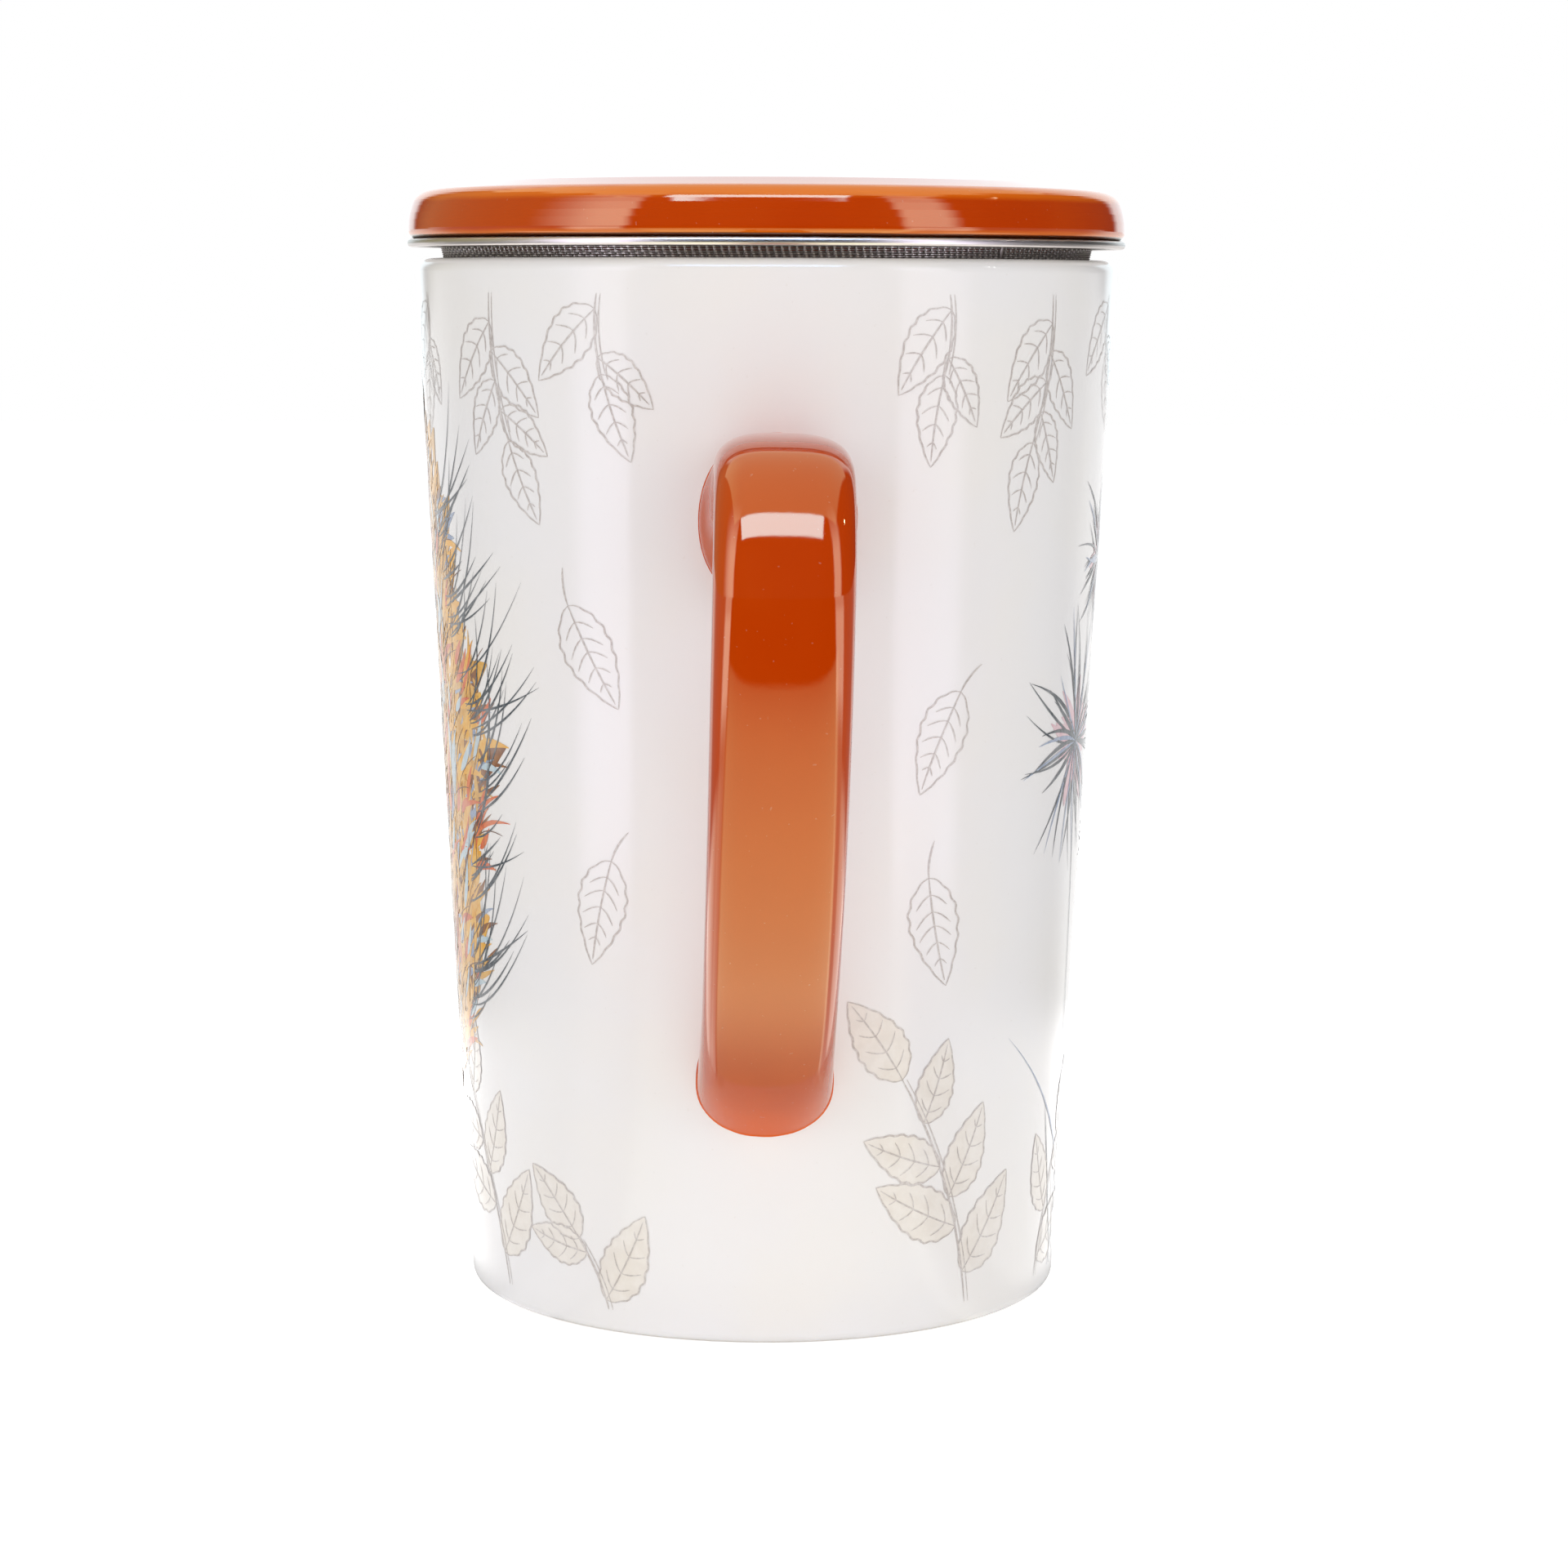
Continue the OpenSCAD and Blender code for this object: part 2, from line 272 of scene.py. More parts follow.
def printed(name, colour, second, grain):
    """Ink under the mug's clear glaze, thin and uneven as a pencil or a brush leaves it."""
    material, tree, shader, place = new_material(name)
    stroke = ramp(tree, noise(tree, place, grain, 3, 0.6), 0.35, 0.68)
    body = blend(tree, stroke, colour, second)
    wash = ramp(tree, noise(tree, place, WASH_SIZE, 2), 0.3, 0.75, 0.0, 0.25)
    body = blend(tree, wash, body, PORCELAIN)
    tree.links.new(body, shader.inputs["Base Color"])
    tree.links.new(gloss(tree, place, PORCELAIN_ROUGH), shader.inputs["Roughness"])
    shader.inputs["IOR"].default_value = PORCELAIN_IOR
    bump(tree, shader, (noise(tree, place, RIPPLE_SIZE, 1), RIPPLE_DEPTH),
         (noise(tree, place, PEEL_SIZE, 2), PEEL_DEPTH))
    return material


def steel(name, colour, roughness, metallic=1.0, turned=True, crossings=0):
    """Stainless steel with the fine rings of turning and polishing, or the grain of drawn wire.

    With crossings, a wire has a painted highlight at each of that many crossings around the axis and painted
    shade between.
    """
    material, tree, shader, place = new_material(name)
    axes = axes_of(tree, place)
    if turned:
        rings = add(tree, "ShaderNodeCombineXYZ", {0: off_axis(tree, axes), 2: axes[2]}).outputs[0]
        grain = noise(tree, rings, RING_SIZE, 3, 0.6)
    else:
        grain = noise(tree, place, DRAWN_SIZE, 3, 0.6)
    patch = noise(tree, place, 12, 3)
    body = blend(tree, ramp(tree, patch, 0.3, 0.75), colour, (*(0.86 * c for c in colour[:3]), 1.0))
    if crossings:
        turn = times(tree, maths(tree, "ARCTAN2", axes[1], axes[0]), float(crossings))
        slant = maths(tree, "ADD", turn, times(tree, axes[2], CROSSING_SLANT / MM))
        # painted highlights at the crossings and painted shade between them
        glint_mask = ramp(tree, maths(tree, "SINE", slant), 0.1, 0.9)
        body = blend(tree, glint_mask, CROSSING_SHADE, body)
    tree.links.new(body, shader.inputs["Base Color"])
    rough = maths(tree, "ADD", ramp(tree, grain, 0.3, 0.7, -0.05, 0.06), roughness)
    tree.links.new(rough, shader.inputs["Roughness"])
    shader.inputs["Metallic"].default_value = metallic
    bump(tree, shader, (grain, GRAIN_DEPTH))
    return material


# -------- meshes

def grid_faces(rows, columns, wrap_rows=False, wrap_columns=False):
    """Quads between the points of a grid, numbered row by row."""
    r = np.arange(rows if wrap_rows else rows - 1)
    c = np.arange(columns if wrap_columns else columns - 1)
    r, c = (a.ravel() for a in np.meshgrid(r, c, indexing="ij"))
    r2, c2 = (r + 1) % rows, (c + 1) % columns
    return np.stack([r * columns + c, r * columns + c2, r2 * columns + c2, r2 * columns + c], 1)


def joined(parts):
    """The points and faces of several meshes as those of one."""
    starts = np.cumsum([0] + [len(points) for points, _ in parts])
    return (np.concatenate([points for points, _ in parts]),
            np.concatenate([faces + start for (_, faces), start in zip(parts, starts)]))


def new_piece(name, points, faces, material, body, slot, caps=()):
    """A smooth mesh piece from points in millimetres and quads, with caps of any number of corners."""
    points = np.asarray(points, float).reshape(-1, 3) * MM
    faces = np.asarray(faces).reshape(-1, 4)
    corners = np.concatenate([faces.ravel(), *caps]).astype(np.int32)
    sizes = np.array([4] * len(faces) + [len(c) for c in caps])
    mesh = bpy.data.meshes.new(name)
    mesh.vertices.add(len(points))
    mesh.vertices.foreach_set("co", points.astype(np.float32).ravel())
    mesh.loops.add(len(corners))
    mesh.loops.foreach_set("vertex_index", corners)
    mesh.polygons.add(len(sizes))
    mesh.polygons.foreach_set("loop_start", (np.cumsum(sizes) - sizes).astype(np.int32))
    mesh.polygons.foreach_set("use_smooth", np.ones(len(sizes), bool))
    mesh.update(calc_edges=True)
    mesh.materials.append(material)
    piece = bpy.data.objects.new(name, mesh)
    bpy.context.scene.collection.objects.link(piece)
    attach(piece, body)
    return piece


def node_points(node):
    """The points of a CAD node, in millimetres."""
    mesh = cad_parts[node].data
    points = np.zeros(len(mesh.vertices) * 3, np.float32)
    mesh.vertices.foreach_get("co", points)
    return points.reshape(-1, 3).astype(float) / MM


def widest(points):
    """Height and radius of the point that lies furthest from the axis."""
    radii = np.hypot(points[:, 0], points[:, 1])
    k = radii.argmax()
    return points[k, 2], radii[k]


mug_points = node_points("mug_body")
MUG_HEIGHT = mug_points[:, 2].max()
(foot_z, foot_r), (lip_z, lip_r) = (
    widest(mug_points[mug_points[:, 2] < 3]), widest(mug_points[mug_points[:, 2] > MUG_HEIGHT / 2]))
WALL_SLOPE = (lip_r - foot_r) / (lip_z - foot_z)


def wall_r(z):
    """Outer radius of the mug's straight wall at a height."""
    return foot_r + WALL_SLOPE * (z - foot_z)


# -------- handle

HANDLE_TOP = 108.6  # height of the upper face at the wall
HANDLE_LOW = 26.0  # height of the lower end on the wall
HANDLE_REACH = 35.5  # out from the wall at the upper root
CORNER_DROP = 16.6  # from the upper face to the outermost point
STRAP = np.array([15.4, 9.6, 3.1])  # width, thickness and exponent of the strap's section
TOP_ROOT = np.array([18.4, 20.0, 2.2])
LOW_ROOT = np.array([16.6, 12.5, 2.1])
TOP_FLARE = np.array([6.0, 18.0, 6.0])  # reach of the flares in those three, out from the wall
LOW_FLARE = np.array([18.0, 18.0, 18.0])
HANDLE_LEAN = 1.0  # degrees
TOP_BURY, LOW_BURY = 4.0, 1.5 # start and end of the path inside the wall
TOP_CLIMB = 0.065  # rise of the path over the top where it is inside the wall
CREST = ((18.8, 1.1), (12.8, 0.35), (9.7, -0.8))  # back from the front face, and above the upper face
CORNER_START, CORNER_PULL = (4.1, -2.9), 0.45
FRONT_PULL, LOW_PULL = 0.36, (0.36, 0.28)
FILLET = 0.15  # glaze that fills the corner between handle and wall
STRAP_SIDES = 72
STRAP_RINGS = 80  # on each of the three bends
FILLET_STEPS = 6
FILLET_SINK = 0.03  # how far its foot lies inside the wall


def bend(controls, u):
    """Points and unit directions at u on the curve with four control points."""
    c, u = np.asarray(controls, float), u[:, None]
    points = (1 - u) ** 3 * c[0] + 3 * u * (1 - u) ** 2 * c[1] + 3 * u * u * (1 - u) * c[2] + u ** 3 * c[3]
    way = (1 - u) ** 2 * (c[1] - c[0]) + 2 * u * (1 - u) * (c[2] - c[1]) + u * u * (c[3] - c[2])
    return points, way / np.linalg.norm(way, axis=1)[:, None]


def superellipse(angles, power):
    """Points from -1 to 1 both ways on superellipses of these powers, spread evenly round each."""
    reach = (np.abs(np.cos(angles)) ** power + np.abs(np.sin(angles)) ** power) ** (-1 / power)
    return reach * np.cos(angles), reach * np.sin(angles)


def strap_rings():
    """Rings of the handle's strap, as [ring, side, xyz], from the upper root to the lower one."""
    front = wall_r(HANDLE_TOP) + HANDLE_REACH
    front_z = HANDLE_TOP - CORNER_DROP
    drop = front_z - HANDLE_LOW
    start = [wall_r(HANDLE_TOP) - TOP_BURY, HANDLE_TOP - TOP_CLIMB * TOP_BURY - FILLET]
    over = [[front - back, HANDLE_TOP + rise] for back, rise in (*CREST, CORNER_START)]
    outermost = [front, front_z]
    end = [wall_r(HANDLE_LOW) - LOW_BURY, HANDLE_LOW - LOW_BURY + FILLET]
    crest = [start, *over[:3]]
    corner = [*over[2:], [front, front_z + CORNER_PULL * (over[2][1] - front_z)], outermost]
    lower = [outermost, [front, front_z - FRONT_PULL * drop],
             [front - LOW_PULL[0] * HANDLE_REACH, HANDLE_LOW + LOW_PULL[1] * drop], end]
    angles = np.linspace(0, 2 * math.pi, STRAP_SIDES, endpoint=False)
    rings = []
    for controls, root, flare in ((crest, TOP_ROOT, TOP_FLARE), (corner, TOP_ROOT, TOP_FLARE),
                                  (lower, LOW_ROOT, LOW_FLARE)):
        path, way = bend(controls, np.linspace(0, 1, STRAP_RINGS))
        out = (path[:, 0] - wall_r(path[:, 1]))[:, None]
        share = np.clip(1 - out / flare, 0, 1) ** 2
        section = STRAP + (root - [2 * FILLET, 2 * FILLET, 0] - STRAP) * share
        x, y = superellipse(angles, section[:, 2:])
        across = x * section[:, :1] / 2
        depth = (1 - y) * section[:, 1:2] / 2
        inward = np.stack([way[:, 1], -way[:, 0]], 1)
        outline = path[:, None, :] + inward[:, None, :] * depth[:, :, None]
        rings.append(np.stack([across, -outline[..., 0], outline[..., 1]], 2))
    rings = np.concatenate([rings[0], rings[1][1:], rings[2][1:]])
    middle = (HANDLE_TOP + HANDLE_LOW) / 2
    lean = math.radians(HANDLE_LEAN)
    x, z = rings[..., 0].copy(), rings[..., 2] - middle
    rings[..., 0] = x * math.cos(lean) + z * math.sin(lean)
    rings[..., 2] = z * math.cos(lean) - x * math.sin(lean) + middle
    return rings


def off_wall(points):
    """Distance of points from the mug's outer wall."""
    return np.hypot(points[..., 0], points[..., 1]) - wall_r(points[..., 2])


def cut_strands(rings):
    """The same strands, from where each leaves the wall by a fillet to where it comes back as near."""
    gap = off_wall(rings)
    cut, meets = np.empty(rings.shape), np.empty((2, *rings.shape[1:]))
    for side in range(rings.shape[1]):
        strand, away = rings[:, side], gap[:, side]
        outside = np.flatnonzero(away > 0)
        first, last = outside[0], outside[-1]
        length = np.concatenate([[0], np.cumsum(np.linalg.norm(np.diff(strand, axis=0), axis=1))])
        half = len(strand) // 2
        out = np.interp([0, FILLET], away[first - 1:half], length[first - 1:half])
        back = np.interp([0, FILLET], away[half:last + 2][::-1], length[half:last + 2][::-1])
        stations = np.linspace(out[1], back[1], len(rings))
        for axis in range(3):
            cut[:, side, axis] = np.interp(stations, length, strand[:, axis])
            meets[:, side, axis] = np.interp([out[0], back[0]], length, strand[:, axis])
    return cut, meets


def fillet_rings(start, meet):
    """Rings from a strand's end down to the wall, which they reach flat, a fillet's width further out."""
    around = np.roll(meet, -1, 0) - np.roll(meet, 1, 0)
    normal = meet * [1, 1, 0]
    normal /= np.linalg.norm(normal, axis=1)[:, None]
    outward = np.cross(around, normal)
    outward /= np.linalg.norm(outward, axis=1)[:, None]
    outward *= np.sign(((meet - meet.mean(0)) * outward).sum(1).mean())
    foot = meet + outward * FILLET
    rings = []
    for step in range(1, FILLET_STEPS + 1):
        t = step / FILLET_STEPS
        ring = (1 - t) ** 2 * start + 2 * t * (1 - t) * meet + t * t * foot
        rings.append(ring)
    ring[:, :2] *= (1 - (off_wall(ring) + FILLET_SINK) / np.hypot(ring[:, 0], ring[:, 1]))[:, None]
    return np.array(rings + [ring * [0.97, 0.97, 1]])


def make_handle(material):
    strands, meets = cut_strands(strap_rings())
    top = fillet_rings(strands[0], meets[0])[::-1]
    low = fillet_rings(strands[-1], meets[1])
    rings = np.concatenate([top, strands, low])
    count = len(rings)
    faces = grid_faces(count, STRAP_SIDES, wrap_columns=True)[:, ::-1]
    first = np.arange(STRAP_SIDES)
    last = (first + (count - 1) * STRAP_SIDES)[::-1]
    piece = new_piece("handle_glazed", rings, faces, material, "mug", "orange_glaze", caps=(first, last))
    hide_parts("handle")


# -------- infuser

WARP_PITCH = 0.82  # mm between the upright wires, at the middle of the basket
WEFT_PITCH = 0.26  # mm between the rings
WARP_WIRE = 0.26  # mm
WEFT_WIRE = 0.22
MESH_T = WARP_WIRE + 2 * WEFT_WIRE
WAVE = (WARP_WIRE + WEFT_WIRE) / 2
WEFT_BANDS = 6  # pieces that the rings are shared out over
WIRE_SIDES = 4
SEAM_LINE = 0.55  # mm, width of the welded line


def levels(node):
    """Heights and outer radii of a turned CAD node."""
    points = node_points(node)
    heights = np.round(points[:, 2], 2)
    steps = np.unique(heights)
    return steps, np.array([widest(points[heights == z])[1] for z in steps])


basket_z, basket_radii = levels("infuser_wall")
BASKET_LOW, BASKET_TOP = basket_z[0], basket_z[-1]
WARPS = 2 * round(math.pi * basket_radii.mean() / WARP_PITCH)
WEFTS = round((BASKET_TOP - BASKET_LOW - 1.5 * WEFT_WIRE) / WEFT_PITCH)
WEFT_HEIGHTS = np.linspace(BASKET_LOW + WEFT_WIRE, BASKET_TOP - WEFT_WIRE / 2, WEFTS)


def basket_r(z):
    """Radius of the middle of the mesh at a height."""
    return np.interp(z, basket_z, basket_radii) - MESH_T / 2


def tubes(centres, first_side, second_side, wire, wrap=False, order=1):
    """Points and faces of many wires: centres [wire, place, xyz], with the two directions of each section.

    With order 1 faces point outwards where these two and the wire's own direction are left-handed, and
    with -1 where they are right-handed.
    """
    sides = np.linspace(0, 2 * math.pi, WIRE_SIDES, endpoint=False)
    ring = np.cos(sides)[:, None] * first_side[..., None, :] + np.sin(sides)[:, None] * second_side
    points = centres[..., None, :] + ring * wire / 2
    count, places = centres.shape[:2]
    one = grid_faces(places, WIRE_SIDES, wrap_rows=wrap, wrap_columns=True)[:, ::-order]
    if not wrap:
        start = np.arange(WIRE_SIDES)[None, ::order]
        one = np.concatenate([one, start, start[:, ::-1] + (places - 1) * WIRE_SIDES])
    faces = (np.arange(count) * places * WIRE_SIDES)[:, None, None] + one
    return points.reshape(-1, 3), faces.reshape(-1, 4)


def around_axis(turns):
    """Unit vectors away from the axis, for angles in radians."""
    return np.stack([np.cos(turns), np.sin(turns), np.zeros_like(turns)], -1)


def weft_rings(numbers, turns, inset=0.0, wrap=True):
    """Wires that run around the basket, over and under the upright ones."""
    heights = WEFT_HEIGHTS[numbers]
    waves = np.where((numbers[:, None] + np.arange(len(turns))) % 2, WAVE, -WAVE)
    radii = basket_r(heights)[:, None] - inset + waves
    out = np.broadcast_to(around_axis(turns), radii.shape + (3,))
    centres = out * radii[..., None]
    centres[..., 2] = heights[:, None]
    return tubes(centres, out, np.array([0, 0, 1.0]), WEFT_WIRE, wrap)


def warp_wires(turns, inset=0.0):
    """Upright wires of the basket."""
    stops = np.unique(np.clip(basket_z, BASKET_LOW + 0.05, BASKET_TOP))
    out = np.broadcast_to(around_axis(turns)[:, None], (len(turns), len(stops), 3))
    centres = out * (basket_r(stops) - inset)[None, :, None]
    centres[..., 2] = stops
    sideways = np.cross([0, 0, 1.0], out)[..., None, :]
    return tubes(centres, out, sideways, WARP_WIRE, order=-1)


def make_basket_wall(material):
    turns = np.arange(WARPS) * 2 * math.pi / WARPS
    for k, band in enumerate(np.array_split(np.arange(WEFTS), WEFT_BANDS), 1):
        piece = new_piece(f"basket_rings_{k}", *weft_rings(band, turns), material, "infuser", "woven_steel")
        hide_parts("infuser_wall")
    piece = new_piece("basket_uprights", *warp_wires(turns), material, "infuser", "woven_steel")
    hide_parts("infuser_wall")


def make_seam(mesh_material, weld_material):
    """The overlap of the mesh sheet inside the basket, and the line where it is welded outside."""
    points = node_points("infuser_seam")
    turns = np.arctan2(points[:, 1], points[:, 0])
    low, high = turns.min(), turns.max()
    step = 2 * math.pi / WARPS
    inside = np.arange(math.ceil(low / step), math.floor(high / step) + 1) * step
    wefts = weft_rings(np.arange(2, WEFTS), inside, inset=MESH_T, wrap=False)
    warps = warp_wires(inside, inset=MESH_T)
    piece = new_piece("seam_overlap", *joined([wefts, warps]), mesh_material, "infuser", "woven_steel")
    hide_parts("infuser_seam")
    middle = (low + high) / 2
    z = np.linspace(BASKET_LOW + 0.5, BASKET_TOP - 0.02, 180)
    across = np.linspace(-1, 1, 7)
    ragged = 1 + 0.25 * np.sin(z * 9.1) + 0.15 * np.sin(z * 23.7)
    turn = middle + across[None] * SEAM_LINE / 2 * ragged[:, None] / basket_r(z)[:, None]
    radius = basket_r(z)[:, None] + MESH_T / 2 - 0.10 + 0.09 * (1 - across ** 2)[None]
    weld = radius[..., None] * around_axis(turn)
    weld[..., 2] = z[:, None]
    new_piece("seam_weld", weld, grid_faces(len(z), 7)[:, ::-1], weld_material, "infuser", "woven_steel")


def make_basket_floor(material):
    """Two sets of wires woven across the basket's lower end."""
    solid = node_points("infuser_floor")
    middle = (solid[:, 2].min() + solid[:, 2].max()) / 2
    reach = widest(solid)[1] - 0.1
    lines = np.arange(-math.floor(reach / WARP_PITCH), math.floor(reach / WARP_PITCH) + 1)
    parts = []
    for i in lines:
        half = math.sqrt(max(reach ** 2 - (i * WARP_PITCH) ** 2, 0))
        stops = lines[np.abs(lines * WARP_PITCH) < half]
        if len(stops) < 2:
            continue
        ends = np.array([[-half, 0, 0], [half, 0, 0]]) + [0, i * WARP_PITCH, middle]
        straight = tubes(ends[None], np.broadcast_to([0, 1.0, 0], (1, 2, 3)), np.array([0, 0, 1.0]),
                         WARP_WIRE)
        waves = np.where((stops + i) % 2, WAVE, -WAVE)
        path = np.stack([np.full(len(stops), i * WARP_PITCH), stops * WARP_PITCH, middle + waves], 1)
        woven = tubes(path[None], np.broadcast_to([0, 0, 1.0], (1, len(stops), 3)), np.array([1.0, 0, 0]),
                      WEFT_WIRE)
        parts += [straight, woven]
    piece = new_piece("basket_floor", *joined(parts), material, "infuser", "woven_steel")
    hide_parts("infuser_floor")


# -------- print on the mug

LINE_LIFT = 0.05  # mm that the lines stand off the wall
FILL_LIFT = 0.02
PASS_LIFT = 0.004  # each further colour of the foliage lies this much higher
LINE_W = 0.24  # mm, a pencil line
HAIR_W = 0.16
PRINT_TOP = 124.3  # height at which the print is cut off below the lip
GROUND = 3.0  # height that its plants grow from
TOOTH, LEAF_TEETH = 0.05, 14  # depth of a leaf's teeth in its width, and twice their number
LEAF_ASPECT = 0.5


class Print:
    """Shapes on the mug's wall, gathered by colour. A motif is drawn around its place in millimetres."""

    def __init__(self):
        self.layers = {}

    def lay(self, colour, place, points, lift):
        """Adds a grid of points [row, column, x and y] around a place (degrees, height)."""
        z = np.minimum(place[1] + points[..., 1], PRINT_TOP)
        turn = math.radians(place[0]) + points[..., 0] / wall_r(z)
        radius = wall_r(z) + lift
        shape = np.stack([radius * np.sin(turn), -radius * np.cos(turn), z], -1)
        part = (shape.reshape(-1, 3), grid_faces(*points.shape[:2]))
        self.layers.setdefault(colour, []).append(part)

    def stroke(self, colour, place, path, half, lift):
        """A stroke along a path, with half its width at each point."""
        along = np.gradient(path, axis=0)
        along /= np.linalg.norm(along, axis=1)[:, None] + 1e-9
        side = np.stack([-along[:, 1], along[:, 0]], 1) * half[:, None]
        self.lay(colour, place, np.stack([path + side, path - side], 1), lift)

    def line(self, colour, place, path, width=LINE_W):
        """A stroke that is thinner at its ends."""
        t = np.linspace(0, 1, len(path))
        half = width / 2 * (0.35 + 0.65 * np.sin(math.pi * t) ** 0.4)
        self.stroke(colour, place, path, half, LINE_LIFT)

    def feather(self, colour, place, path, width, lift=FILL_LIFT):
        """A stroke that swells from a point and narrows to a point."""
        half = width / 2 * np.sin(math.pi * np.linspace(0.04, 0.97, len(path)) ** 0.75)
        self.stroke(colour, place, path, half, lift)

    def build(self, inks):
        for colour, parts in self.layers.items():
            new_piece(f"print_{colour}", *joined(parts), inks[colour], "mug", "porcelain")


def turned(points, degrees):
    a = math.radians(degrees)
    return points @ np.array([[math.cos(a), math.sin(a)], [-math.sin(a), math.cos(a)]])


def leaf(art, place, turn, length, width, fill=None, sway=0.1, veins=4, start=(0, 0)):
    """A leaf drawn in pencil that hangs from start, turned anticlockwise from straight down."""
    steps = max(12, int(length * 3))
    t = np.linspace(0, 1, steps)
    mid = np.stack([sway * length * t ** 2, -length * t], 1)
    toothed = 1 + TOOTH * np.sin(t * math.pi * LEAF_TEETH)
    half = width / 2 * np.sin(math.pi * t ** 0.8) ** 0.85 * toothed
    edge = np.stack([half, 0.12 * half], 1)
    right, left = mid + edge, mid + edge * [-1, 1]

    def put(points):
        return turned(points, turn) + start

    if fill:
        columns = [put(left + (right - left) * s) for s in np.linspace(0, 1, 6)]
        art.lay(fill, place, np.stack(columns, 1), FILL_LIFT)
    art.line("pencil", place, put(right))
    art.line("pencil", place, put(left))
    art.line("pencil", place, put(mid[: int(steps * 0.95)]), LINE_W * 0.9)
    for k in range(veins):
        at = 0.16 + 0.6 * k / (veins - 1)
        root = mid[int(at * (steps - 1))]
        for side in (-1, 1):
            reach = 0.72 * width / 2 * math.sin(math.pi * (at + 0.1) ** 0.8)
            tip = root + [side * reach, -0.62 * reach - 0.25]
            curve = np.linspace(0, 1, 5)[:, None]
            path = root + (tip - root) * curve + np.array([0, 0.12 * reach]) * np.sin(math.pi * curve)
            art.line("pencil", place, put(path), LINE_W * 0.7)


def curve_path(turn, length, sway, steps=16, start=(0, 0)):
    """Points of a stem from start, turned anticlockwise from straight down, that curves by sway."""
    t = np.linspace(0, 1, steps)
    return turned(np.stack([sway * length * t ** 2, -length * t], 1), turn) + start


def downward(way):
    """How far a direction is turned anticlockwise from straight down, in degrees."""
    return math.degrees(math.atan2(way[0], -way[1]))


def stem_leaves(art, place, path, count, size, spread, fill=None, first=0.2):
    """Leaves in turn on both sides of a stem, and one at its tip, smaller towards the tip."""
    for k in range(count):
        at = first + (0.8 - first) * k / max(count - 1, 1)
        i = min(int(at * (len(path) - 1)), len(path) - 2)
        side = 1 if k % 2 else -1
        length = size * (1 - 0.35 * at)
        leaf(art, place, downward(path[i + 1] - path[i]) + side * spread, length, length * LEAF_ASPECT, fill,
             sway=-side * 0.12, start=path[i])
    leaf(art, place, downward(path[-1] - path[-2]), size * 0.85, size * 0.42, fill, start=path[-1])


def hanging_sprig(art, turn, drop, lean, leaves, size):
    """A twig that hangs from the top of the print."""
    place = (turn, PRINT_TOP)
    path = curve_path(lean, drop, -0.25 * math.copysign(1, lean))
    art.line("pencil", place, path)
    art.line("pencil", place, path + [0.55, 0.1], HAIR_W)
    stem_leaves(art, place, path, leaves, size, 46)


def falling_leaf(art, turn, height, tilt, length):
    place = (turn, height)
    leaf(art, place, tilt, length, length * LEAF_ASPECT, sway=0.08, veins=5)
    t = np.linspace(0, 1, 7)
    stalk = np.stack([0.09 * t ** 2 * length, np.linspace(0, 0.32 * length, 7)], 1)
    art.line("pencil", place, turned(stalk, tilt))


def ground_sprig(art, turn, height, lean, leaves, size):
    """A plant that grows up from the foot of the mug, with leaves washed in beige."""
    place = (turn, GROUND)
    path = curve_path(180 + lean, height, 0.22 * math.copysign(1, lean))
    art.line("pencil", place, path, LINE_W * 1.2)
    art.line("pencil", place, path + [0.6, 0], HAIR_W)
    stem_leaves(art, place, path, leaves, size, 52, "wash", first=0.18)


SEED_RAYS, HEART_STROKES = 46, 26


def seed_head(art, turn, height, radius, rng):
    """A wild flower gone to seed: a thin stalk, a burst of fine rays and a pink heart."""
    place = (turn, height)
    stalk = curve_path(rng.uniform(-8, 8), height - 6, rng.uniform(-0.12, 0.12), 24)
    art.line("ink", place, stalk, HAIR_W * 1.4)
    for k in range(SEED_RAYS):
        a = 360 * k / SEED_RAYS + rng.uniform(-7, 7)
        length = radius * rng.uniform(0.6, 1.1)
        path = curve_path(a, length, rng.uniform(-0.5, 0.5), 10)
        art.feather("ink" if k % 4 else "slate", place, path, rng.uniform(0.3, 0.55), LINE_LIFT)
    for k in range(HEART_STROKES):
        path = curve_path(14 * k, radius * rng.uniform(0.25, 0.55), rng.uniform(-0.3, 0.3), 8)
        art.feather("blossom", place, path, radius * 0.12, FILL_LIFT + PASS_LIFT)


STROKES = {"slate": 330, "umber": 420, "ochre": 560, "amber": 620, "rust": 170, "sky": 120}
BUSH_STEMS, BUSH_LINES, BUSH_CURLS = 9, 420, 150
BUSH_LOW, BUSH_TALL, BUSH_HALF = 24, 86, 25  # mm: its lower end, its height and half its width


def bush_edge(height):
    """Half width of the bush at a height, in millimetres."""
    t = min(1, max(0, (height - BUSH_LOW) / BUSH_TALL))
    return BUSH_HALF * math.sin(math.pi * min(1, 0.05 + 0.97 * t)) ** 0.6 + 1.6 * math.sin(height * 0.21)


